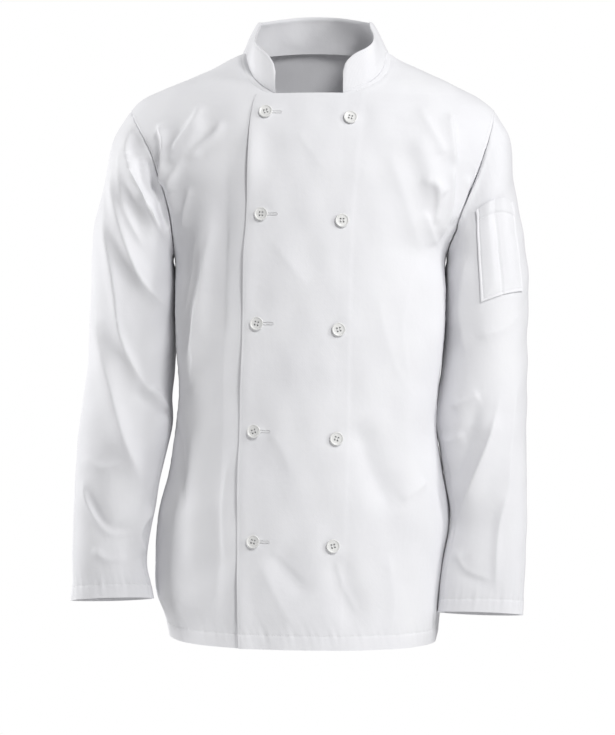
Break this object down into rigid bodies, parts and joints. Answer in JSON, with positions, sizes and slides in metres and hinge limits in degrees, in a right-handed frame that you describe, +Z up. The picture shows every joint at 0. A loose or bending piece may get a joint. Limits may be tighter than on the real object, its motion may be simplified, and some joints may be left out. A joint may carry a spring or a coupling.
{
  "type": "chef jacket",
  "caption": "Worn double-breasted chef jacket with a stand collar, long sleeves and a pen pocket on the left sleeve; hollow cloth walls.",
  "frame": {"origin": "in the neck opening, midway between the neck ends of the shoulder seams and level with them, where the wearer's neck and shoulders hold the jacket up", "axes": "+Z up, the front of the jacket faces -Y, +X towards the wearer's left"},
  "size_m": [0.5951, 0.2783, 0.8208],
  "materials": {
    "cloth": "white polyester and cotton twill, matt with a faint sheen",
    "button": "white polyester resin, satin"
  },
  "bodies": {
    "root": {"front_left": "cloth", "front_right": "cloth", "back": "cloth", "sleeve_left_upper": "cloth", "sleeve_left_under": "cloth", "sleeve_right_upper": "cloth", "sleeve_right_under": "cloth", "collar_outer": "cloth", "collar_inner": "cloth", "sleeve_pocket": "cloth", "button_edge_1": "button", "button_edge_2": "button", "button_edge_3": "button", "button_edge_4": "button", "button_edge_5": "button", "button_inner_1": "button", "button_inner_2": "button", "button_inner_3": "button", "button_inner_4": "button", "button_inner_5": "button"}
  },
  "joints": []
}
